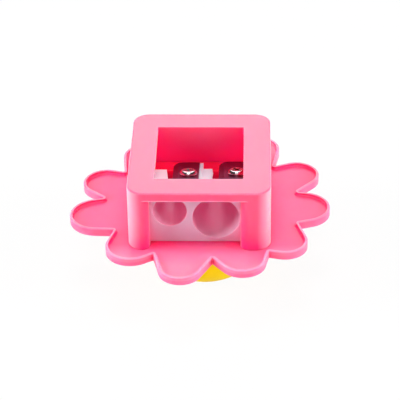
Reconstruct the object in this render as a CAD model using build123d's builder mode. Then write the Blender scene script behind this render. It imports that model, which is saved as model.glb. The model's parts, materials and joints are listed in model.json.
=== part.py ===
from build123d import *
import math
import os

os.makedirs("parts", exist_ok=True)

# Double-hole pencil sharpener on a flower plate, lying flower side down on its domed centre.
# All sizes in millimetres. X runs left to right, -Y is the side the pencils go in, +Z is up.
# X = Y = 0 is the middle of the housing; the flower's middle lies a little right and behind it.

# Flower
flower_x = 0.8
flower_y = 0.7
petals = 11
first_notch = -85.0      # angle of the first notch between two petals
petal_r = 32.4           # petal tips from the flower's middle
petal_gap = 2.36         # between the round ends of neighbouring petals
notch_inset = 1.6        # notches inside the middles of the round ends
# hand-drawn unevenness, one row for each petal:
# notch angle and distance, petal angle, reach and end radius
uneven = [
    (0.9, -1.2, 0.9, -1.7, -0.6),
    (-0.3, 1.3, -3.1, -1.8, -0.7),
    (-0.7, -0.1, 0.1, -1.6, 0.2),
    (0.2, -1.0, 1.3, -0.2, -0.6),
    (-0.6, -0.1, 2.6, 2.7, 0.3),
    (0.3, -1.7, -1.4, 0.4, -0.6),
    (0.2, -1.8, -3.4, 0.5, -0.2),
    (0.5, 0.6, -2.0, 0.0, -0.5),
    (-2.3, 0.4, -2.7, 0.8, 0.5),
    (-1.2, 0.0, 0.7, -1.4, -0.1),
    (-0.3, 0.1, 0.5, -0.1, -1.0),
]
notch_round = 0.2
plate_floor = 1.2
rim_height = 0.9
rim_w = 0.6
rim_chamfer = 0.2
rim_foot = 0.4           # slope where the rim meets the floor

# Domed flower centre, a hollow shell with a middle post
dome_r = 17.7
foot_r = 6.0             # flat at the pole that the sharpener stands on
dome_wall = 2.0
post_r = 3.0
post_clear = 0.05
post_setback = 0.2       # post end below the plate's floor

# Sharpener body: two pencil holes side by side
small_x = -7.0
small_r = 4.05
small_guide = 2.0        # straight length before the cone
small_tip_r = 0.6
large_x = 4.0
large_r = 5.65
large_guide = 4.0
large_tip_r = 0.8
taper = 13.0             # half angle of both cones and slope of the blade seats
wall_below = 1.0         # under the large hole
wall_above = 1.4         # over the large hole
small_above = 1.15       # over the small hole
wall_left = 1.95
wall_right = 2.25
body_l = 22.25
collar = 1.5             # full-height strip along the pencil side
seat_skin = 0.15         # least thickness between a blade seat and its cone
lip_drop = 0.3           # lips beside the slots below the blade seats
lip_setback = 3.7        # lips end before the back
back_step_h = 6.0        # block behind the lips
slot_front_w = 0.3       # slots beside the cutting edges widen towards the back
slot_back_w = 2.0
slot_below = 0.3         # slot floor below the pencil axis
relief_l = 7.5           # deep back end of the slots
relief_floor = 3.0
rib_w = 0.85
rib_rise = 0.15          # ribs beside the blades above the seats

# Housing
house_w = 34.0
house_corner = 3.9
side_wall = 2.0
front_wall = 3.9
back_wall = 6.65         # thick, flush with the window's back edge
roof = 2.2
column_left = 5.2        # columns beside the mouth
column_right = 7.2
column_round = 1.2
roof_round = 0.5
frame_left = 6.2         # roof left standing round the window
frame_right = 6.55
frame_front = 6.65
window_round = 0.4

# Blades and their screws
blade_t = 0.5
blade_l = 20.4
blade_gap = 0.1          # to the rib or step beside the blade
blade_setback = 0.3      # behind the collar
small_blade_w = 6.3
large_blade_w = 6.7
small_edge = 0.28        # cutting edge right of the hole's axis
large_edge = 0.45
overhang = 0.9           # blade reaching over the slot
blade_corner = 2.5
bevel_w = 1.3
bevel_h = 0.35
small_screw = 3.8        # screw right of the cutting edge
large_screw = 4.3
screw_in = 11.15         # screw behind the blade's front end
screw_r = 1.0
screw_clear = 0.2
head_r = 2.1
head_h = 1.1
head_chamfer = 0.35
shank_l = 2.5
pilot_extra = 0.3

# Curb and back stop on the plate, around the sharpener body
curb_w = 1.2
curb_h = 3.0
curb_clear = 0.1
curb_setback = 0.4       # behind the housing's front wall
stop_d = 4.2
stop_h = 5.95
stop_wall = 1.3

# Pegs of the plate in sockets of the housing
peg_r = 1.0
peg_clear = 0.05
peg_h = 4.0
socket_extra = 0.4
back_peg_inset = 5.0

# Levels and positions that follow
plate_z = math.sqrt(dome_r ** 2 - foot_r ** 2)
floor_z = plate_z + plate_floor
petal_end_r = (petal_r * math.sin(math.pi / petals) - petal_gap / 2) / (1 + math.sin(math.pi / petals))
notch_r = petal_r - petal_end_r - notch_inset
body_h = wall_below + 2 * large_r + wall_above
house_h = body_h + roof
house_d = front_wall + body_l + stop_d + curb_clear + back_wall
roof_z = floor_z + body_h
large_z = floor_z + wall_below + large_r
small_z = roof_z - small_above - small_r
house_front = -house_d / 2
house_in_y1 = house_d / 2 - back_wall
window_y0 = house_front + frame_front
body_x0 = small_x - small_r - wall_left
body_x1 = large_x + large_r + wall_right
body_y0 = house_front + front_wall
body_y1 = body_y0 + body_l
mouth_x0 = -house_w / 2 + column_left
mouth_x1 = house_w / 2 - column_right
slope = math.tan(math.radians(taper))
blade_y0 = body_y0 + collar + blade_setback
small_edge_x = small_x + small_edge
large_edge_x = large_x + large_edge
small_rib_x = small_edge_x + small_blade_w + blade_gap
large_rib_x = large_edge_x + large_blade_w + blade_gap
screw_y = blade_y0 + screw_in


def polar(angle, dist):
    """Point at an angle and distance from the flower's middle."""
    a = math.radians(angle)
    return flower_x + dist * math.cos(a), flower_y + dist * math.sin(a)


def notch(i):
    row = uneven[i % len(uneven)]
    return polar(first_notch + i * 360 / petals + row[0], notch_r + row[1])


def tangent_angle(start, middle, r, side):
    """Direction from the middle of a petal's rounded end to where its side leaves it."""
    dx, dy = start[0] - middle[0], start[1] - middle[1]
    dist = max(math.hypot(dx, dy), r * 1.001)
    return math.degrees(math.atan2(dy, dx)) + side * math.degrees(math.acos(r / dist))


def flower_outline():
    """Draw the closed outline of all petals in the current line builder."""
    for i in range(petals):
        row = uneven[i % len(uneven)]
        start, end = notch(i), notch((i + 1) % petals)
        r = petal_end_r + row[4]
        middle = polar(first_notch + (i + 0.5) * 360 / petals + row[2], petal_r + row[3] - r)
        first = tangent_angle(start, middle, r, 1)
        last = tangent_angle(end, middle, r, -1)
        tip_arc = CenterArc(middle, r, first, (last - first) % 360)
        Line(start, tip_arc @ 0)
        Line(tip_arc @ 1, end)


def at_notch(v):
    return any(math.hypot(v.X - notch(i)[0], v.Y - notch(i)[1]) < 0.01 for i in range(petals))


def seat_level(y, axis_z, r, guide):
    """Height of a blade seat at y: it runs along the top of the pencil cone."""
    return axis_z + r + seat_skin - (y - body_y0 - guide) * slope


def small_seat(y):
    return seat_level(y, small_z, small_r, small_guide)


def large_seat(y):
    return seat_level(y, large_z, large_r, large_guide)


def cut_above(x0, x1, level, raise_by):
    """Take away what stands above a sloping level between x0 and x1, behind the collar."""
    y0 = body_y0 + collar
    y1 = body_y1 + collar
    top = roof_z + roof
    with BuildSketch(Plane.YZ.offset(x0)) as profile:
        with BuildLine():
            Polyline((y0, level(y0) + raise_by), (y1, level(y1) + raise_by), (y1, top), (y0, top),
                     close=True)
        make_face()
    extrude(profile.sketch, amount=x1 - x0, mode=Mode.SUBTRACT)


def lip(x0, x1, level):
    """Cut the lip between x0 and x1, and the step behind it."""
    cut_above(x0, x1, level, -lip_drop)
    step_y0 = body_y1 - lip_setback
    with BuildSketch(Plane.XY.offset(floor_z + back_step_h)) as plan:
        with Locations(((x0 + x1) / 2, (step_y0 + body_y1 + collar) / 2)):
            Rectangle(x1 - x0, body_y1 + collar - step_y0)
    extrude(plan.sketch, amount=house_h, mode=Mode.SUBTRACT)


def slot(edge_x, y0, bottom):
    """Take away the slot beside a cutting edge, upwards from its bottom."""
    flare = (slot_back_w - slot_front_w) / (body_y1 - blade_y0)
    y1 = body_y1 + collar
    with BuildSketch(Plane.XY.offset(bottom)) as plan:
        with BuildLine():
            Polyline((edge_x - slot_front_w - (y0 - blade_y0) * flare, y0), (edge_x + overhang, y0),
                     (edge_x + overhang, y1), (edge_x - slot_front_w - (y1 - blade_y0) * flare, y1),
                     close=True)
        make_face()
    extrude(plan.sketch, amount=house_h, mode=Mode.SUBTRACT)


def pencil_hole(x, axis_z, r, guide, tip_r):
    """Take away a short straight guide, the pencil cone and the small hole at its point."""
    front_y = body_y0 - collar
    cone_end = body_y0 + guide + (r - tip_r) / slope
    out_y = max(body_y1, cone_end) + collar
    with BuildSketch(Plane.YZ.offset(x)) as profile:
        with BuildLine():
            Polyline((front_y, axis_z), (front_y, axis_z + r), (body_y0 + guide, axis_z + r),
                     (cone_end, axis_z + tip_r), (out_y, axis_z + tip_r), (out_y, axis_z), close=True)
        make_face()
    revolve(profile.sketch, axis=Axis((x, 0, axis_z), (0, 1, 0)), mode=Mode.SUBTRACT)


def seat_plane(x, level):
    """Plane lying on a blade seat at the screw: local X across the blade, local Y down the slope."""
    a = math.radians(taper)
    return Plane(origin=(x, screw_y, level(screw_y)), x_dir=(1, 0, 0),
                 z_dir=(0, math.sin(a), math.cos(a)))


# Flower centre: domed shell with a post that goes through the plate; its core tapers straight down
in_r = dome_r - dome_wall
in_foot = math.sqrt(in_r ** 2 - (plate_z - dome_wall) ** 2)
foot_angle = math.degrees(math.acos(foot_r / dome_r))
with BuildPart() as flower_centre:
    with BuildSketch(Plane.XZ):
        with BuildLine():
            outer = CenterArc((0, plate_z), dome_r, -foot_angle, foot_angle)
            Polyline(outer @ 1, (in_r, plate_z), (in_foot, dome_wall), (0, dome_wall), (0, 0), outer @ 0)
        make_face()
    revolve(axis=Axis.Z)
    with BuildSketch(Plane.XY.offset(dome_wall / 2)):
        Circle(post_r)
    extrude(amount=floor_z - post_setback - dome_wall / 2)
flower_centre.part = Pos(flower_x, flower_y, 0) * flower_centre.part
flower_centre.part.label = "flower_centre"
export_step(flower_centre.part, "parts/flower_centre.step")

# Petal plate: floor, raised rim, curb and stop for the body, pegs for the housing
front_peg_y = house_front + front_wall / 2
back_peg_x = house_w / 2 - back_peg_inset
back_peg_y = house_d / 2 - back_wall / 2
front_pegs = [(mouth_x0 - column_left / 2, front_peg_y), (mouth_x1 + column_right / 2, front_peg_y)]
back_pegs = [(-back_peg_x, back_peg_y), (back_peg_x, back_peg_y)]
body_mid_x = (body_x0 + body_x1) / 2
body_w = body_x1 - body_x0
curb_y0 = body_y0 + curb_setback
stop_mid_y = body_y1 + stop_d / 2
curb_l = stop_mid_y - curb_y0
with BuildPart() as petal_plate:
    with BuildSketch(Plane.XY.offset(plate_z)) as outline:
        with BuildLine():
            flower_outline()
        make_face()
        fillet([v for v in outline.vertices() if at_notch(v)], radius=notch_round)
    extrude(amount=plate_floor + rim_height)
    chamfer(petal_plate.faces().sort_by(Axis.Z)[-1].edges(), length=rim_chamfer)
    with BuildSketch(Plane.XY.offset(floor_z)):
        add(outline.sketch)
        offset(amount=-rim_w, kind=Kind.ARC, mode=Mode.REPLACE)
    extrude(amount=2 * rim_height, mode=Mode.SUBTRACT)
    dish = petal_plate.faces().filter_by(Plane.XY).group_by(Axis.Z)[1].sort_by(SortBy.AREA)[-1]
    chamfer(dish.edges(), length=rim_foot)
    # curb on three sides of the body
    with BuildSketch(Plane.XY.offset(floor_z)):
        with Locations((body_mid_x, curb_y0 + curb_l / 2)):
            Rectangle(body_w + 2 * (curb_clear + curb_w), curb_l)
        with Locations((body_mid_x, body_y1 - body_l)):
            Rectangle(body_w + 2 * curb_clear, 2 * body_l, mode=Mode.SUBTRACT)
    extrude(amount=curb_h)
    # back stop, hollow underneath
    with BuildSketch(Plane.XY.offset(floor_z)):
        with Locations((body_mid_x, stop_mid_y)):
            Rectangle(body_w, stop_d)
    extrude(amount=stop_h)
    with BuildSketch(Plane.XY.offset(plate_z)):
        with Locations((body_mid_x, stop_mid_y)):
            Rectangle(body_w - 2 * stop_wall, stop_d - 2 * stop_wall)
    extrude(amount=plate_floor + stop_h - stop_wall, mode=Mode.SUBTRACT)
    # hole for the post of the flower centre
    with BuildSketch(Plane.XY.offset(plate_z - plate_floor)):
        with Locations((flower_x, flower_y)):
            Circle(post_r + post_clear)
    extrude(amount=3 * plate_floor, mode=Mode.SUBTRACT)
    # pegs
    with BuildSketch(Plane.XY.offset(floor_z)):
        with Locations(*front_pegs, *back_pegs):
            Circle(peg_r)
    extrude(amount=peg_h)
petal_plate.part.label = "petal_plate"
export_step(petal_plate.part, "parts/petal_plate.step")

# Housing: walls and roof in one piece, with the window above and the mouth in front
with BuildPart() as housing:
    with BuildSketch(Plane.XY.offset(floor_z)):
        RectangleRounded(house_w, house_d, house_corner)
    extrude(amount=house_h)
    fillet(housing.faces().sort_by(Axis.Z)[-1].edges(), radius=roof_round)
    # chamber inside
    with BuildSketch(Plane.XY.offset(floor_z)) as chamber:
        with Locations((0, (body_y0 + house_in_y1) / 2)):
            Rectangle(house_w - 2 * side_wall, house_in_y1 - body_y0)
        fillet(chamber.vertices().group_by(Axis.Y)[-1], radius=window_round)
    extrude(amount=body_h, mode=Mode.SUBTRACT)
    # mouth between the two columns
    with BuildSketch(Plane.XY.offset(floor_z)):
        with Locations(((mouth_x0 + mouth_x1) / 2, house_front)):
            Rectangle(mouth_x1 - mouth_x0, 3 * front_wall)
    extrude(amount=body_h, mode=Mode.SUBTRACT)
    front_face = housing.faces().filter_by(Axis.Y).sort_by(Axis.Y)[0]
    inner_corners = [
        e for e in front_face.edges().filter_by(Axis.Z)
        if abs(e.center().X - mouth_x0) < 0.01 or abs(e.center().X - mouth_x1) < 0.01
    ]
    fillet(inner_corners, radius=column_round)
    # window
    with BuildSketch(Plane.XY.offset(roof_z - roof)):
        with Locations(((frame_left - frame_right) / 2, (window_y0 + house_in_y1) / 2)):
            RectangleRounded(house_w - frame_left - frame_right, house_in_y1 - window_y0, window_round)
    extrude(amount=3 * roof, mode=Mode.SUBTRACT)
    # sockets for the pegs
    with BuildSketch(Plane.XY.offset(floor_z)):
        with Locations(*front_pegs, *back_pegs):
            Circle(peg_r + peg_clear)
    extrude(amount=peg_h + socket_extra, mode=Mode.SUBTRACT)
housing.part.label = "housing"
export_step(housing.part, "parts/housing.step")

# Sharpener body: block with two pencil cones, shaving slots and sloping blade seats
with BuildPart() as sharpener_body:
    with BuildSketch(Plane.XY.offset(floor_z)):
        with Locations((body_mid_x, (body_y0 + body_y1) / 2)):
            Rectangle(body_w, body_l)
    extrude(amount=body_h)
    lip(body_x0 - wall_left, small_edge_x + overhang, small_seat)
    cut_above(small_edge_x + overhang, small_rib_x, small_seat, 0)
    cut_above(small_rib_x, small_rib_x + rib_w, small_seat, rib_rise)
    lip(small_rib_x + rib_w, large_edge_x + overhang, large_seat)
    cut_above(large_edge_x + overhang, large_rib_x, large_seat, 0)
    cut_above(large_rib_x, body_x1 + wall_right, large_seat, rib_rise)
    # slots the shavings come out of, shallow along the cones and deep at the back
    slot(small_edge_x, blade_y0, small_z - slot_below)
    slot(large_edge_x, blade_y0, large_z - slot_below)
    slot(small_edge_x, body_y1 - relief_l, floor_z + relief_floor)
    slot(large_edge_x, body_y1 - relief_l, floor_z + relief_floor)
    pencil_hole(small_x, small_z, small_r, small_guide, small_tip_r)
    pencil_hole(large_x, large_z, large_r, large_guide, large_tip_r)
    # pilot holes for the blade screws
    for edge_x, offset_x, level in (
        (small_edge_x, small_screw, small_seat), (large_edge_x, large_screw, large_seat)
    ):
        with BuildSketch(seat_plane(edge_x + offset_x, level)):
            Circle(screw_r)
        extrude(amount=-(shank_l + pilot_extra), mode=Mode.SUBTRACT)
sharpener_body.part.label = "sharpener_body"
export_step(sharpener_body.part, "parts/sharpener_body.step")


def blade_shape(edge_x, width, screw, level):
    """Build one blade on its seat in the current part builder."""
    plane = seat_plane(edge_x, level)
    front = screw_in / math.cos(math.radians(taper))
    with BuildSketch(plane) as flat:
        with Locations((width / 2, blade_l / 2 - front)):
            Rectangle(width, blade_l)
        # rounded back corner at the cutting edge
        corners = flat.vertices().group_by(Axis.Y)[-1]
        fillet(corners.sort_by(Axis.X)[0], radius=blade_corner)
        with Locations((screw, 0)):
            Circle(screw_r + screw_clear, mode=Mode.SUBTRACT)
    extrude(flat.sketch, amount=blade_t)
    # ground bevel along the cutting edge
    with BuildSketch(Plane(origin=plane.origin, x_dir=plane.x_dir, z_dir=plane.y_dir)) as bevel:
        with BuildLine():
            Polyline((0, -blade_t), (bevel_w, -blade_t), (0, bevel_h - blade_t), close=True)
        make_face()
    extrude(bevel.sketch, amount=blade_l, both=True, mode=Mode.SUBTRACT)


with BuildPart() as small_blade:
    blade_shape(small_edge_x, small_blade_w, small_screw, small_seat)
small_blade.part.label = "small_blade"
export_step(small_blade.part, "parts/small_blade.step")

with BuildPart() as large_blade:
    blade_shape(large_edge_x, large_blade_w, large_screw, large_seat)
large_blade.part.label = "large_blade"
export_step(large_blade.part, "parts/large_blade.step")


def screw_shape(x, level):
    """Build one blade screw with its head on the blade in the current part builder."""
    a = math.radians(taper)
    plane = seat_plane(x, level)
    side = Plane(origin=plane.origin, x_dir=(1, 0, 0), z_dir=(0, -math.cos(a), math.sin(a)))
    top = blade_t + head_h
    with BuildSketch(side) as profile:
        with BuildLine():
            Polyline((0, -shank_l), (0, top), (head_r - head_chamfer, top), (head_r, top - head_chamfer),
                     (head_r, blade_t), (screw_r, blade_t), (screw_r, -shank_l), close=True)
        make_face()
    revolve(profile.sketch, axis=Axis(plane.origin, plane.z_dir))


with BuildPart() as small_screw_part:
    screw_shape(small_edge_x + small_screw, small_seat)
small_screw_part.part.label = "small_blade_screw"
export_step(small_screw_part.part, "parts/small_blade_screw.step")

with BuildPart() as large_screw_part:
    screw_shape(large_edge_x + large_screw, large_seat)
large_screw_part.part.label = "large_blade_screw"
export_step(large_screw_part.part, "parts/large_blade_screw.step")
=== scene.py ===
import json
import math

import bpy
from mathutils import Matrix, Vector

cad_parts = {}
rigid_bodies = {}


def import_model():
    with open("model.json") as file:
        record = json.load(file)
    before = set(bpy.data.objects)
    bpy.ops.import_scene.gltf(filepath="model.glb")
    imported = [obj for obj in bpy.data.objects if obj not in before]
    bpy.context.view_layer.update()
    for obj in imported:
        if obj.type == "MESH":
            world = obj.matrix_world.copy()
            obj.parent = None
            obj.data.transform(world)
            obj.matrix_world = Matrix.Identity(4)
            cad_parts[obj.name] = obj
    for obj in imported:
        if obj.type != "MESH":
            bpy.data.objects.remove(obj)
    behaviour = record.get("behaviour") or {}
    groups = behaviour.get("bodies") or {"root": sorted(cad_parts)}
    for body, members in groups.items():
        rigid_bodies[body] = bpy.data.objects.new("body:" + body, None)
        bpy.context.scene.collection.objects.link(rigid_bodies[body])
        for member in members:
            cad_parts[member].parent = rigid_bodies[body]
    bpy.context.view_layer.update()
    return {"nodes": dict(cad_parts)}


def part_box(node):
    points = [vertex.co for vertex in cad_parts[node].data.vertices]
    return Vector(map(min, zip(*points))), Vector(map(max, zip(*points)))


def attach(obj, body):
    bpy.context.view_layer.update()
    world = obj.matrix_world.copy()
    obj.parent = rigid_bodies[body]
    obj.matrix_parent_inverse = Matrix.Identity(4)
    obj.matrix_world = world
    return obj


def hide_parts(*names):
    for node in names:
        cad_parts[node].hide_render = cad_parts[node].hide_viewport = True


# Looks of a two-hole pencil sharpener on a flower plate. Everything is in metres.

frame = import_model()
mm = 0.001
print("frame loaded:", ", ".join(sorted(frame["nodes"])))


def deselectAll():
    for other in bpy.context.view_layer.objects:
        other.select_set(False)


def makeActive(piece):
    deselectAll()
    piece.select_set(True)
    bpy.context.view_layer.objects.active = piece


def applyModifiers(piece):
    makeActive(piece)
    for modifier in list(piece.modifiers):
        bpy.ops.object.modifier_apply(modifier=modifier.name)


def cutAway(piece, cutter, materialMode="INDEX"):
    cut = piece.modifiers.new("cut", "BOOLEAN")
    cut.object = cutter
    cut.operation = "DIFFERENCE"
    cut.material_mode = materialMode
    applyModifiers(piece)
    bpy.data.objects.remove(cutter)


# Shader helpers: each takes sockets or plain values and gives the node or its output

def addNode(tree, kind, **settings):
    node = tree.nodes.new(kind)
    for name, value in settings.items():
        setattr(node, name, value)
    return node


def feed(tree, node, values):
    for name, value in values.items():
        if isinstance(value, bpy.types.NodeSocket):
            tree.links.new(value, node.inputs[name])
        else:
            node.inputs[name].default_value = value


def calculate(tree, operation, *values):
    node = addNode(tree, "ShaderNodeMath", operation=operation)
    feed(tree, node, dict(enumerate(values)))
    return node.outputs[0]


def product(tree, first, *others):
    for other in others:
        first = calculate(tree, "MULTIPLY", first, other)
    return first


def calculateVector(tree, operation, *values):
    node = addNode(tree, "ShaderNodeVectorMath", operation=operation)
    feed(tree, node, dict(enumerate(values)))
    return node.outputs["Value" if operation == "DOT_PRODUCT" else "Vector"]


def ramp(tree, value, start, end, interpolation="SMOOTHSTEP"):
    node = addNode(tree, "ShaderNodeMapRange", interpolation_type=interpolation)
    feed(tree, node, {"Value": value, "From Min": start, "From Max": end})
    return node.outputs["Result"]


def blend(tree, share, under, over, kind="RGBA"):
    node = addNode(tree, "ShaderNodeMix", data_type=kind)
    feed(tree, node, {"Factor": share, "A": under, "B": over})
    return node.outputs["Result"]


def noise(tree, place, values):
    node = addNode(tree, "ShaderNodeTexNoise")
    feed(tree, node, {"Vector": place, **values})
    return node.outputs["Fac"]


def split(tree, vector):
    node = addNode(tree, "ShaderNodeSeparateXYZ")
    feed(tree, node, {"Vector": vector})
    return node.outputs["X"], node.outputs["Y"], node.outputs["Z"]


def placeInMm(tree):
    place = addNode(tree, "ShaderNodeTexCoord")
    inMm = addNode(tree, "ShaderNodeMapping")
    feed(tree, inMm, {"Vector": place.outputs["Object"], "Scale": (1 / mm,) * 3})
    return inMm.outputs["Vector"]


def newGroup(name, inputs, outputs):
    group = bpy.data.node_groups.new(name, "ShaderNodeTree")
    for label, kind, value in inputs:
        socket = group.interface.new_socket(name=label, in_out="INPUT", socket_type=kind)
        socket.default_value = value
    for label, kind in outputs:
        group.interface.new_socket(name=label, in_out="OUTPUT", socket_type=kind)
    entry = group.nodes.new("NodeGroupInput")
    return group, entry.outputs, group.nodes.new("NodeGroupOutput")


def mouldedPlasticGroup():
    # flow clouds, painted light and shade by place and recess, satin patches in the gloss
    # and the mould's fine grain; heights and distances are in millimetres
    group, given, result = newGroup(
        "mouldedPlastic",
        [("Colour", "NodeSocketColor", (0.8, 0.8, 0.8, 1)),
         ("Flow Colour", "NodeSocketColor", (0.7, 0.7, 0.7, 1)),
         ("Flow Amount", "NodeSocketFloat", 0.3),
         ("Flow Size", "NodeSocketFloat", 0.2),
         ("Roughness", "NodeSocketFloat", 0.4),
         ("Gloss Patches", "NodeSocketFloat", 0.08),
         ("Grain Size", "NodeSocketFloat", 6.0),
         ("Grain Depth", "NodeSocketFloat", 0.5),
         ("Openness", "NodeSocketFloat", 1.0),
         ("Thickness", "NodeSocketFloat", 1.0),
         ("Contact", "NodeSocketFloat", 1.0),
         ("Wall Light Colour", "NodeSocketColor", (0.9, 0.9, 0.9, 1)),
         ("Wall Amount", "NodeSocketFloat", 0.0),
         ("Wall Ends", "NodeSocketFloat", 1.0),
         ("Deep Colour", "NodeSocketColor", (0.5, 0.5, 0.5, 1)),
         ("Deep Glow", "NodeSocketColor", (0, 0, 0, 1)),
         ("Deep From", "NodeSocketFloat", 0.8),
         ("Deep To", "NodeSocketFloat", 0.3),
         ("Inside Shade Colour", "NodeSocketColor", (0.5, 0.5, 0.5, 1)),
         ("Inside Level", "NodeSocketFloat", 1000.0),
         ("End Colour", "NodeSocketColor", (0.9, 0.9, 0.9, 1)),
         ("End Amount", "NodeSocketFloat", 0.0),
         ("End Axis", "NodeSocketVector", (0.0, 1.0, 0.0)),
         ("End Lean", "NodeSocketVector", (0.0, 0.0, 0.0)),
         ("End From", "NodeSocketFloat", 18.0),
         ("End To", "NodeSocketFloat", 30.0),
         ("End Level", "NodeSocketFloat", 0.0),
         ("Crevice Shade Colour", "NodeSocketColor", (0.3, 0.3, 0.3, 1)),
         ("Crevice Amount", "NodeSocketFloat", 0.0),
         ("Crevice From", "NodeSocketFloat", 0.75),
         ("Crevice To", "NodeSocketFloat", 0.35),
         ("Top Light Colour", "NodeSocketColor", (0.9, 0.9, 0.9, 1)),
         ("Top Amount", "NodeSocketFloat", 0.0),
         ("Top From", "NodeSocketFloat", 30.0),
         ("Top To", "NodeSocketFloat", 31.0),
         ("Top Limit", "NodeSocketFloat", 1000.0),
         ("Edge Highlight Colour", "NodeSocketColor", (0.9, 0.9, 0.9, 1)),
         ("Edge Amount", "NodeSocketFloat", 0.0),
         ("Edge From", "NodeSocketFloat", 0.85),
         ("Edge To", "NodeSocketFloat", 0.35),
         ("Edge Outside", "NodeSocketFloat", -1.0),
         ("Edge Level", "NodeSocketFloat", -1000.0)],
        [("Colour", "NodeSocketColor"), ("Roughness", "NodeSocketFloat"),
         ("Height", "NodeSocketFloat"), ("Glow", "NodeSocketColor")])
    place = placeInMm(group)
    height = split(group, place)[2]
    fromMiddle = calculateVector(group, "ABSOLUTE", place)

    clouds = noise(group, place, {"Scale": given["Flow Size"], "Detail": 3.0, "Roughness": 0.55,
                                  "Distortion": 0.6})
    flow = product(group, ramp(group, clouds, 0.35, 0.7), given["Flow Amount"])
    colour = blend(group, flow, given["Colour"], given["Flow Colour"])

    # upright walls below a height are painted paler: painted light on the walls
    facing = addNode(group, "ShaderNodeNewGeometry")
    levelness = calculate(group, "ABSOLUTE", split(group, facing.outputs["Normal"])[2])
    upright = ramp(group, levelness, 0.6, 0.1)
    below = calculate(group, "LESS_THAN", height, given["Top Limit"])
    wall = product(group, upright, below)
    colour = blend(group, product(group, wall, given["Wall Amount"]), colour, given["Wall Light Colour"])

    # recesses are painted deeper and glow a little: painted shade and painted bounced light
    depth = ramp(group, given["Openness"], given["Deep From"], given["Deep To"])
    colour = blend(group, depth, colour, given["Deep Colour"])
    glow = blend(group, depth, (0, 0, 0, 1), given["Deep Glow"])

    # what stands up inside another piece is painted a darker colour: painted shade inside the
    # housing
    inside = calculate(group, "GREATER_THAN", height, given["Inside Level"])
    colour = blend(group, inside, colour, given["Inside Shade Colour"])

    # the ends along one axis are paler, on upright walls by a share of their own: this is side
    # light laid into the material
    alongAxis = calculateVector(group, "DOT_PRODUCT", fromMiddle, given["End Axis"])
    leaning = calculateVector(group, "DOT_PRODUCT", place, given["End Lean"])
    endReach = calculate(group, "ADD", alongAxis, leaning)
    endMask = ramp(group, endReach, given["End From"], given["End To"], "LINEAR")
    endAbove = calculate(group, "GREATER_THAN", height, given["End Level"])
    wallEnds = blend(group, wall, 1.0, given["Wall Ends"], "FLOAT")
    ends = product(group, endMask, endAbove, wallEnds, given["End Amount"])
    colour = blend(group, ends, colour, given["End Colour"])

    # narrow corners get a painted dark line: painted shade where parts meet
    crevice = ramp(group, given["Contact"], given["Crevice From"], given["Crevice To"])
    crevices = product(group, crevice, given["Crevice Amount"])
    colour = blend(group, crevices, colour, given["Crevice Shade Colour"])

    # a band of height is painted lighter: painted light on a roof, a painted highlight on a rim
    topMask = ramp(group, height, given["Top From"], given["Top To"])
    tops = product(group, topMask, below, given["Top Amount"])
    colour = blend(group, tops, colour, given["Top Light Colour"])

    # thin edges in the open are painted paler: painted highlights
    edgeMask = ramp(group, given["Thickness"], given["Edge From"], given["Edge To"])
    shallow = calculate(group, "SUBTRACT", 1.0, depth)
    acrossX, acrossY, _ = split(group, fromMiddle)
    furthest = calculate(group, "MAXIMUM", acrossX, acrossY)
    outer = calculate(group, "GREATER_THAN", furthest, given["Edge Outside"])
    high = calculate(group, "GREATER_THAN", height, given["Edge Level"])
    edges = product(group, edgeMask, shallow, outer, high, given["Edge Amount"])
    colour = blend(group, edges, colour, given["Edge Highlight Colour"])

    patches = noise(group, place, {"Scale": 0.55, "Detail": 4.0, "Roughness": 0.6})
    patchShift = calculate(group, "SUBTRACT", patches, 0.5)
    gloss = calculate(group, "MULTIPLY_ADD", patchShift, given["Gloss Patches"], given["Roughness"])
    grain = noise(group, place, {"Scale": given["Grain Size"], "Detail": 2.0, "Roughness": 0.5})
    feed(group, result, {"Colour": colour, "Roughness": gloss, "Glow": glow,
                         "Height": product(group, grain, given["Grain Depth"])})
    return group


def workedSteelGroup():
    # grinding lines along one direction, cloudy polish and faint tarnish
    group, given, result = newGroup(
        "workedSteel",
        [("Colour", "NodeSocketColor", (0.6, 0.6, 0.6, 1)),
         ("Tarnish", "NodeSocketColor", (0.4, 0.38, 0.36, 1)),
         ("Tarnish Amount", "NodeSocketFloat", 0.3),
         ("Line Scale", "NodeSocketVector", (12.0, 0.4, 12.0)),
         ("Roughness", "NodeSocketFloat", 0.25),
         ("Line Roughness", "NodeSocketFloat", 0.2),
         ("Line Depth", "NodeSocketFloat", 0.5)],
        [("Colour", "NodeSocketColor"), ("Roughness", "NodeSocketFloat"),
         ("Height", "NodeSocketFloat")])
    place = placeInMm(group)
    stretch = calculateVector(group, "MULTIPLY", place, given["Line Scale"])
    lines = noise(group, stretch, {"Scale": 1.0, "Detail": 4.0, "Roughness": 0.65})
    lineShift = calculate(group, "SUBTRACT", lines, 0.5)
    polish = calculate(group, "MULTIPLY_ADD", lineShift, given["Line Roughness"],
                       given["Roughness"])
    clouds = noise(group, place, {"Scale": 0.8, "Detail": 5.0, "Roughness": 0.6})
    stain = product(group, ramp(group, clouds, 0.45, 0.75), given["Tarnish Amount"])
    feed(group, result, {"Colour": blend(group, stain, given["Colour"], given["Tarnish"]),
                         "Roughness": polish,
                         "Height": product(group, lines, given["Line Depth"])})
    return group


mouldedPlastic = mouldedPlasticGroup()
workedSteel = workedSteelGroup()


def occlusion(tree, reach, **settings):
    node = addNode(tree, "ShaderNodeAmbientOcclusion", samples=8, **settings)
    feed(tree, node, {"Distance": reach})
    return node.outputs["AO"]


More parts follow.
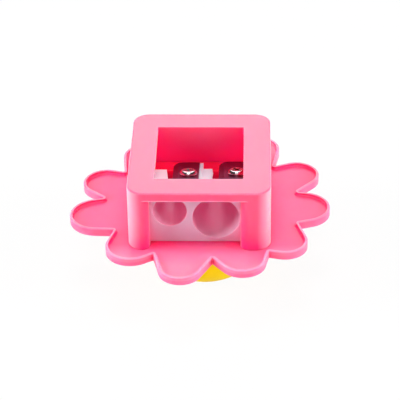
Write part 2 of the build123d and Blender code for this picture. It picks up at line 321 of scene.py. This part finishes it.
def finishMaterial(name, group, look, surface, reach=None, edgeReach=0.5 * mm,
                   contactReach=1.2 * mm):
    # one material: the group's colour, gloss and relief on a Principled surface
    material = bpy.data.materials.new(name)
    material.use_nodes = True
    tree = material.node_tree
    tree.nodes.clear()
    effect = addNode(tree, "ShaderNodeGroup", node_tree=group)
    feed(tree, effect, look)
    bump = addNode(tree, "ShaderNodeBump")
    feed(tree, bump, {"Distance": 0.02 * mm, "Height": effect.outputs["Height"]})
    shader = addNode(tree, "ShaderNodeBsdfPrincipled")
    feed(tree, shader, {**surface,
                        "Base Color": effect.outputs["Colour"],
                        "Roughness": effect.outputs["Roughness"],
                        "Normal": bump.outputs["Normal"]})
    if reach:
        feed(tree, effect, {"Openness": occlusion(tree, reach),
                            "Thickness": occlusion(tree, edgeReach, inside=True, only_local=True),
                            "Contact": occlusion(tree, contactReach)})
        feed(tree, shader, {"Emission Color": effect.outputs["Glow"]})
    output = addNode(tree, "ShaderNodeOutputMaterial")
    feed(tree, output, {"Surface": shader.outputs["BSDF"]})
    return material


recessReach = 12 * mm

# deep, crevice, end, top and edge colours and the deep glow here are painted light and shade
pinkPlastic = finishMaterial(
    "pinkPlastic", mouldedPlastic,
    {"Colour": (0.97, 0.075, 0.22, 1), "Flow Colour": (0.95, 0.065, 0.20, 1),
     "Flow Amount": 0.5, "Flow Size": 0.12, "Roughness": 0.40, "Gloss Patches": 0.10,
     "Grain Size": 5.0, "Grain Depth": 0.4,
     "Deep Colour": (0.95, 0.003, 0.19, 1), "Deep Glow": (0.14, 0.0, 0.015, 1),
     "Deep From": 0.85, "Deep To": 0.40,
     "End Colour": (0.99, 0.40, 0.51, 1), "End Amount": 1.0, "End Axis": (1, 0, 0),
     "End From": 13.8, "End To": 16.9,
     "Crevice Shade Colour": (0.60, 0.0, 0.06, 1), "Crevice Amount": 0.6,
     "Top Light Colour": (0.98, 0.12, 0.26, 1), "Top Amount": 1.0, "Top From": 33.42, "Top To": 33.6,
     "Edge Highlight Colour": (1.0, 0.50, 0.64, 1), "Edge Amount": 0.65, "Edge From": 0.92,
     "Edge To": 0.65, "Edge Outside": 13.5},
    {"IOR": 1.49, "Subsurface Weight": 1.0, "Subsurface Radius": (1.0, 0.12, 0.25),
     "Subsurface Scale": 0.004, "Sheen Weight": 0.9, "Sheen Roughness": 0.4,
     "Emission Strength": 1.0},
    reach=recessReach, edgeReach=0.45 * mm)

# wall, deep, inside, crevice, end, top and edge colours and the deep glow here are painted light
# and shade
pinkPlate = finishMaterial(
    "pinkPlate", mouldedPlastic,
    {"Colour": (0.96, 0.085, 0.27, 1), "Flow Colour": (0.94, 0.072, 0.25, 1),
     "Flow Amount": 0.5, "Flow Size": 0.12, "Roughness": 0.42, "Gloss Patches": 0.10,
     "Grain Size": 5.0, "Grain Depth": 0.4,
     "Wall Light Colour": (1.0, 0.36, 0.50, 1), "Wall Amount": 0.25, "Wall Ends": 0.45,
     "Deep Colour": (0.95, 0.004, 0.18, 1), "Deep Glow": (0.12, 0.0, 0.01, 1),
     "Deep From": 0.78, "Deep To": 0.32,
     "Inside Shade Colour": (0.88, 0.0, 0.055, 1), "Inside Level": 19.2,
     "End Colour": (0.99, 0.32, 0.49, 1), "End Amount": 0.9, "End Axis": (0, 1, 0),
     "End Lean": (0, -0.12, 0), "End From": 18.0, "End To": 28.0, "End Level": 17.7,
     "Crevice Shade Colour": (0.45, 0.0, 0.05, 1), "Crevice Amount": 0.9, "Crevice From": 0.62,
     "Crevice To": 0.30,
     "Top Light Colour": (1.0, 0.36, 0.50, 1), "Top Amount": 0.5, "Top From": 18.4, "Top To": 18.7,
     "Top Limit": 18.9,
     "Edge Highlight Colour": (1.0, 0.50, 0.62, 1), "Edge Amount": 0.35, "Edge From": 0.95,
     "Edge To": 0.65, "Edge Level": 18.45},
    {"IOR": 1.49, "Subsurface Weight": 1.0, "Subsurface Radius": (1.0, 0.12, 0.25),
     "Subsurface Scale": 0.003, "Sheen Weight": 0.15, "Sheen Roughness": 0.4,
     "Emission Strength": 1.0},
    reach=recessReach, edgeReach=0.4 * mm, contactReach=3 * mm)

yellowPlastic = finishMaterial(
    "yellowPlastic", mouldedPlastic,
    {"Colour": (0.99, 0.70, 0.001, 1), "Flow Colour": (0.96, 0.64, 0.001, 1),
     "Flow Amount": 0.4, "Flow Size": 0.10, "Roughness": 0.38, "Gloss Patches": 0.10,
     "Grain Size": 5.0, "Grain Depth": 0.4},
    {"IOR": 1.49, "Specular IOR Level": 0.05, "Subsurface Weight": 1.0,
     "Subsurface Radius": (1.0, 0.7, 0.05), "Subsurface Scale": 0.003})

# white plastic, painted in the pink of the light bounced from the parts around it
whitePlastic = finishMaterial(
    "whitePlastic", mouldedPlastic,
    {"Colour": (0.74, 0.57, 0.70, 1), "Flow Colour": (0.69, 0.50, 0.63, 1),
     "Flow Amount": 0.4, "Flow Size": 0.15, "Roughness": 0.45, "Gloss Patches": 0.10,
     "Grain Size": 6.0, "Grain Depth": 0.4,
     "Deep Colour": (0.82, 0.33, 0.50, 1), "Deep Glow": (0.12, 0.006, 0.027, 1),
     "Deep From": 0.58, "Deep To": 0.18},
    {"IOR": 1.50, "Subsurface Weight": 1.0, "Subsurface Radius": (1.0, 0.8, 0.85),
     "Subsurface Scale": 0.001, "Emission Strength": 1.0},
    reach=recessReach)

# the insert's faces under the window: painted whiter and with a small glow, painted light from
# above
litInsertTops = finishMaterial(
    "litInsertTops", mouldedPlastic,
    {"Colour": (0.90, 0.78, 0.86, 1), "Flow Colour": (0.86, 0.72, 0.82, 1),
     "Flow Amount": 0.4, "Flow Size": 0.15, "Roughness": 0.45, "Gloss Patches": 0.10,
     "Grain Size": 6.0, "Grain Depth": 0.4},
    {"IOR": 1.50, "Subsurface Weight": 1.0, "Subsurface Radius": (1.0, 0.8, 0.85),
     "Subsurface Scale": 0.001, "Emission Color": (0.0, 0.06, 0.08, 1),
     "Emission Strength": 1.0})

# the dark red that the blades mirror inside the housing is laid into the steel's colour
bladeSteel = finishMaterial(
    "bladeSteel", workedSteel,
    {"Colour": (0.17, 0.018, 0.07, 1), "Tarnish": (0.11, 0.01, 0.045, 1),
     "Tarnish Amount": 0.35, "Line Scale": (9.0, 0.35, 9.0), "Roughness": 0.36,
     "Line Roughness": 0.25, "Line Depth": 0.6},
    {"Metallic": 1.0})

# the screws' steel is painted lighter than steel: a painted reflection of the light around
screwSteel = finishMaterial(
    "screwSteel", workedSteel,
    {"Colour": (0.70, 0.56, 0.59, 1), "Tarnish": (0.30, 0.22, 0.24, 1),
     "Tarnish Amount": 0.3, "Line Scale": (3.0, 3.0, 3.0), "Roughness": 0.20,
     "Line Roughness": 0.12, "Line Depth": 0.3},
    {"Metallic": 1.0})

# darker steel for the cross recess: painted shade in the recess
recessShadeSteel = finishMaterial(
    "recessShadeSteel", workedSteel,
    {"Colour": (0.22, 0.12, 0.14, 1), "Tarnish": (0.10, 0.05, 0.06, 1),
     "Tarnish Amount": 0.4, "Line Scale": (3.0, 3.0, 3.0), "Roughness": 0.30,
     "Line Roughness": 0.12, "Line Depth": 0.3},
    {"Metallic": 1.0})
print("materials made")


def dress(piece, material):
    piece.data.materials.clear()
    piece.data.materials.append(material)


looks = {
    "petal_plate": (pinkPlate, "pink_plastic"),
    "housing": (pinkPlastic, "pink_plastic"),
    "flower_centre": (yellowPlastic, "yellow_plastic"),
    "sharpener_body": (whitePlastic, "white_plastic"),
    "small_blade": (bladeSteel, "blade_steel"),
    "large_blade": (bladeSteel, "blade_steel"),
    "small_blade_screw": (screwSteel, "screw_steel"),
    "large_blade_screw": (screwSteel, "screw_steel"),
}
for nodeName, (material, slotName) in looks.items():
    dress(frame["nodes"][nodeName], material)
print("CAD pieces dressed")


# Housing: the columns' inner front edges are rounded up to the roof

columnSizes = {
    "round": 2.2 * mm,
    "mouthLeft": 5.2 * mm,     # inner faces of the columns from the housing's sides
    "mouthRight": 7.2 * mm,
    "roofDown": 2.2 * mm,
    "spare": 1.0 * mm,
    "sides": 96,
}


def columnCutter(side, sizes):
    # what stands outside the round of one column's edge
    low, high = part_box("housing")
    radius = sizes["round"]
    bottom, top = low.z - sizes["spare"], high.z - sizes["roofDown"]
    face = low.x + sizes["mouthLeft"] if side < 0 else high.x - sizes["mouthRight"]
    axisX, axisY = face + side * radius, low.y + radius
    width = radius + sizes["spare"]
    deselectAll()
    bpy.ops.mesh.primitive_cube_add(
        size=1, location=(axisX - side * width / 2, axisY - width / 2, (bottom + top) / 2))
    block = bpy.context.active_object
    block.scale = (width, width, top - bottom)
    bpy.ops.object.transform_apply(location=True, rotation=True, scale=True)
    deselectAll()
    bpy.ops.mesh.primitive_cylinder_add(
        vertices=sizes["sides"], radius=radius, depth=2 * (top - bottom),
        location=(axisX, axisY, (bottom + top) / 2))
    column = bpy.context.active_object
    bpy.ops.object.transform_apply(location=True, rotation=True, scale=True)
    cutAway(block, column)
    return block


# Soft-edged copies: the moulded pieces get the small rounds that their moulds have

softPieces = {
    "housing": {"name": "housingMoulding", "round": 0.45 * mm, "steps": 3},
    "petal_plate": {"name": "flowerMoulding", "round": 0.22 * mm, "steps": 3},
    "sharpener_body": {"name": "insertMoulding", "round": 0.05 * mm, "steps": 1},
    "flower_centre": {"name": "domeMoulding", "round": 0.25 * mm, "steps": 3},
}

mouldSizes = {
    "mergeWithin": 0.002 * mm,
    "flatBelow": 1.0,      # degrees between faces that count as one
    "roundAbove": 35.0,    # degrees between faces whose edge is rounded
    "smoothBelow": 40.0,   # degrees
}


def softCopy(node, sizes, cutters=()):
    deselectAll()
    piece = bpy.data.objects.new(sizes["name"], node.data.copy())
    bpy.context.scene.collection.objects.link(piece)
    makeActive(piece)
    bpy.ops.object.mode_set(mode="EDIT")
    bpy.ops.mesh.select_mode(type="VERT")
    bpy.ops.mesh.select_all(action="SELECT")
    bpy.ops.mesh.remove_doubles(threshold=mouldSizes["mergeWithin"])
    bpy.ops.mesh.dissolve_limited(angle_limit=math.radians(mouldSizes["flatBelow"]))
    bpy.ops.object.mode_set(mode="OBJECT")
    for cutter in cutters:
        cutAway(piece, cutter)
    rounding = piece.modifiers.new("rounding", "BEVEL")
    rounding.width = sizes["round"]
    rounding.segments = sizes["steps"]
    rounding.limit_method = "ANGLE"
    rounding.angle_limit = math.radians(mouldSizes["roundAbove"])
    rounding.use_clamp_overlap = True
    applyModifiers(piece)
    bpy.ops.object.shade_smooth_by_angle(angle=math.radians(mouldSizes["smoothBelow"]))
    evenNormals = piece.modifiers.new("evenNormals", "WEIGHTED_NORMAL")
    evenNormals.keep_sharp = True
    applyModifiers(piece)
    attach(piece, "root")
    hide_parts(node.name)
    material, slotName = looks[node.name]
    dress(piece, material)
    return piece


mouldings = {}
for nodeName, sizes in softPieces.items():
    cutters = []
    if nodeName == "housing":
        cutters = [columnCutter(side, columnSizes) for side in (-1, 1)]
    mouldings[nodeName] = softCopy(frame["nodes"][nodeName], sizes, cutters)
    mouldings[nodeName].data.calc_loop_triangles()
    print("softened", nodeName, len(mouldings[nodeName].data.loop_triangles))

# the insert's faces that look up through the window
litSizes = {"openAbove": 25.4 * mm, "leastUpward": 0.5}
insert = mouldings["sharpener_body"]
insert.data.materials.append(litInsertTops)
for polygon in insert.data.polygons:
    upward = polygon.normal.z > litSizes["leastUpward"]
    if upward and polygon.center.z > litSizes["openAbove"]:
        polygon.material_index = 1
print("edges rounded")


# Blade screws: pan heads with a cross recess, standing on the sloping blades

screwSizes = {
    "slope": 13.0,             # degrees
    "bladeThickness": 0.5 * mm,
    "headRadius": 2.1 * mm,
    "headHeight": 1.1 * mm,
    "headSides": 64,
    "headRound": 0.75 * mm,
    "roundSteps": 7,
    "headChamfer": 0.35 * mm,  # of the CAD screw, whose box gives the place
    "shankRadius": 1.0 * mm,
    "shankLength": 2.5 * mm,
    "crossLength": 3.1 * mm,
    "crossWidth": 0.74 * mm,
    "crossDepth": 0.8 * mm,
    "crossTaper": 0.55,        # width at the bottom of the cross against its width at the top
    "smoothBelow": 35.0,       # degrees
    "turns": {"small_blade_screw": 8.0, "large_blade_screw": 38.0},
}


def onlyFaces(piece, wanted):
    # select in edit mode just the faces that the test wants
    bpy.ops.object.mode_set(mode="EDIT")
    bpy.ops.mesh.select_mode(type="FACE")
    bpy.ops.mesh.select_all(action="DESELECT")
    bpy.ops.object.mode_set(mode="OBJECT")
    for polygon in piece.data.polygons:
        polygon.select = wanted(polygon)
    bpy.ops.object.mode_set(mode="EDIT")


def screwCutter(turn, sizes):
    # one arm of the cross, narrower at its bottom
    top = sizes["bladeThickness"] + sizes["headHeight"]
    deselectAll()
    bpy.ops.mesh.primitive_cube_add(size=1, location=(0, 0, top), rotation=(0, 0, turn))
    arm = bpy.context.active_object
    arm.scale = (sizes["crossLength"], sizes["crossWidth"], 2 * sizes["crossDepth"])
    bpy.ops.object.transform_apply(location=False, rotation=False, scale=True)
    onlyFaces(arm, lambda polygon: polygon.normal.z < -0.5)
    bpy.ops.transform.resize(value=(sizes["crossTaper"], sizes["crossTaper"], 1))
    bpy.ops.object.mode_set(mode="OBJECT")
    bpy.ops.object.transform_apply(location=True, rotation=True, scale=True)
    # the recess faces take the dark steel of painted shade
    arm.data.materials.append(recessShadeSteel)
    return arm


def bladeScrew(node, turn, sizes):
    top = sizes["bladeThickness"] + sizes["headHeight"]
    deselectAll()
    bpy.ops.mesh.primitive_cylinder_add(
        vertices=sizes["headSides"], radius=sizes["headRadius"], depth=sizes["headHeight"],
        location=(0, 0, sizes["bladeThickness"] + sizes["headHeight"] / 2))
    piece = bpy.context.active_object
    piece.name = node.name + "_head"
    bpy.ops.object.transform_apply(location=True, rotation=True, scale=True)
    onlyFaces(piece, lambda polygon: polygon.normal.z > 0.9)
    bpy.ops.mesh.region_to_loop()
    bpy.ops.mesh.bevel(offset=sizes["headRound"], segments=sizes["roundSteps"], affect="EDGES")
    onlyFaces(piece, lambda polygon: polygon.normal.z < -0.9)
    bpy.ops.mesh.inset(thickness=sizes["headRadius"] - sizes["shankRadius"])
    shankDown = sizes["bladeThickness"] + sizes["shankLength"]
    bpy.ops.mesh.extrude_region_move(TRANSFORM_OT_translate={"value": (0, 0, -shankDown)})
    bpy.ops.object.mode_set(mode="OBJECT")
    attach(piece, "root")
    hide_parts(node.name)
    material, slotName = looks[node.name]
    dress(piece, material)
    for quarter in (0, math.pi / 2):
        cutAway(piece, screwCutter(math.radians(turn) + quarter, sizes), "TRANSFER")
    makeActive(piece)
    bpy.ops.object.shade_smooth_by_angle(angle=math.radians(sizes["smoothBelow"]))

    # the box of the tilted CAD screw ends at the rims above and below its head's chamfer
    low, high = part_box(node.name)
    slope = math.radians(sizes["slope"])
    upperRim = sizes["headRadius"] - sizes["headChamfer"]
    lowerRim = top - sizes["headChamfer"]
    piece.rotation_euler = (-slope, 0, 0)
    piece.location = (
        (low.x + high.x) / 2,
        high.y - sizes["headRadius"] * math.cos(slope) - lowerRim * math.sin(slope),
        high.z - top * math.cos(slope) - upperRim * math.sin(slope))
    bpy.ops.object.transform_apply(location=True, rotation=True, scale=True)


for nodeName, turn in screwSizes["turns"].items():
    bladeScrew(frame["nodes"][nodeName], turn, screwSizes)
print("screws made")


# Stage: pale floor, dim even surroundings and soft boxes

stageSizes = {
    "floorWidth": 3.0,
    "floorShade": 0.82,
    "floorGlow": 0.93,         # share of plain white that the camera sees in the floor
    "skyLevel": 0.08,
    "aimBehind": 18.15 * mm,   # from the housing's front to what the lamps and camera look at
}

# place, width, power and whether mirror-like reflections show it: the side boxes would burn out
# the level faces in views from the sides
softBoxes = {
    "backBox": ((0.0, 0.62, 0.48), 0.45, 2.0, True),
    "topBox": ((0.0, -0.05, 0.75), 0.28, 1.8, True),
    "leftBox": ((-0.65, -0.15, 0.25), 0.40, 6.0, False),
    "rightBox": ((0.65, -0.15, 0.25), 0.40, 5.2, False),
    "frontBox": ((0.0, -0.55, 0.55), 0.40, 0.7, True),
}

bpy.ops.mesh.primitive_plane_add(size=stageSizes["floorWidth"], location=(0, 0, 0))
floor = bpy.context.active_object
floor.name = "floor"
floorMaterial = bpy.data.materials.new("paleFloor")
floorMaterial.use_nodes = True
floorTree = floorMaterial.node_tree
floorTree.nodes.clear()
matt = addNode(floorTree, "ShaderNodeBsdfDiffuse")
feed(floorTree, matt, {"Color": (stageSizes["floorShade"],) * 3 + (1,)})
glow = addNode(floorTree, "ShaderNodeEmission")
feed(floorTree, glow, {"Strength": 1.0})
floorRay = addNode(floorTree, "ShaderNodeLightPath")
seen = product(floorTree, floorRay.outputs["Is Camera Ray"], stageSizes["floorGlow"])
floorMix = addNode(floorTree, "ShaderNodeMixShader")
feed(floorTree, floorMix, {0: seen, 1: matt.outputs["BSDF"], 2: glow.outputs["Emission"]})
floorOut = addNode(floorTree, "ShaderNodeOutputMaterial")
feed(floorTree, floorOut, {"Surface": floorMix.outputs["Shader"]})
floor.data.materials.append(floorMaterial)

world = bpy.data.worlds.new("studioWorld")
bpy.context.scene.world = world
world.use_nodes = True
sky = world.node_tree
sky.nodes.clear()
skyLight = addNode(sky, "ShaderNodeBackground")
feed(sky, skyLight, {"Color": (1, 1, 1, 1), "Strength": stageSizes["skyLevel"]})
skySeen = addNode(sky, "ShaderNodeBackground")
feed(sky, skySeen, {"Color": (1, 1, 1, 1), "Strength": 1.0})
skyRay = addNode(sky, "ShaderNodeLightPath")
skyMix = addNode(sky, "ShaderNodeMixShader")
feed(sky, skyMix, {0: skyRay.outputs["Is Camera Ray"], 1: skyLight.outputs["Background"],
                   2: skySeen.outputs["Background"]})
skyOut = addNode(sky, "ShaderNodeOutputWorld")
feed(sky, skyOut, {"Surface": skyMix.outputs["Shader"]})

housingLow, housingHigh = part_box("housing")
middle = Vector((0, housingLow.y + stageSizes["aimBehind"], housingLow.z))

for name, (place, width, power, inReflections) in softBoxes.items():
    softBox = bpy.data.lights.new(name, "AREA")
    softBox.shape = "SQUARE"
    softBox.size = width
    softBox.energy = power
    boxObject = bpy.data.objects.new(name, softBox)
    bpy.context.scene.collection.objects.link(boxObject)
    boxObject.location = place
    boxObject.visible_glossy = inReflections
    boxObject.rotation_euler = (middle - boxObject.location).to_track_quat("-Z", "Y").to_euler()
print("stage lit")


# Camera: looks down on the pencil side from a long way off

cameraSizes = {
    "lens": 167.3,
    "sensor": 36.0,
    "distance": 0.456872,
    "height": 33.0,      # degrees above the horizon
    "turn": 1.963,
    "roll": -0.929,
    "right": -0.000284,  # the line of sight passes this far beside and above the middle
    "up": 0.002079,
    "nearest": 0.01,
    "furthest": 20.0,
}

cameraData = bpy.data.cameras.new("camera")
cameraData.lens = cameraSizes["lens"]
cameraData.sensor_width = cameraSizes["sensor"]
cameraData.clip_start = cameraSizes["nearest"]
cameraData.clip_end = cameraSizes["furthest"]
camera = bpy.data.objects.new("camera", cameraData)
bpy.context.scene.collection.objects.link(camera)
turned = (Matrix.Rotation(math.radians(cameraSizes["turn"]), 4, "Z")
          @ Matrix.Rotation(math.radians(90 - cameraSizes["height"]), 4, "X")
          @ Matrix.Rotation(math.radians(cameraSizes["roll"]), 4, "Z"))
step = Vector((cameraSizes["right"], cameraSizes["up"], cameraSizes["distance"]))
camera.matrix_world = Matrix.Translation(middle + turned @ step) @ turned
bpy.context.scene.camera = camera
bpy.context.scene.view_settings.view_transform = "Standard"
print("camera placed")
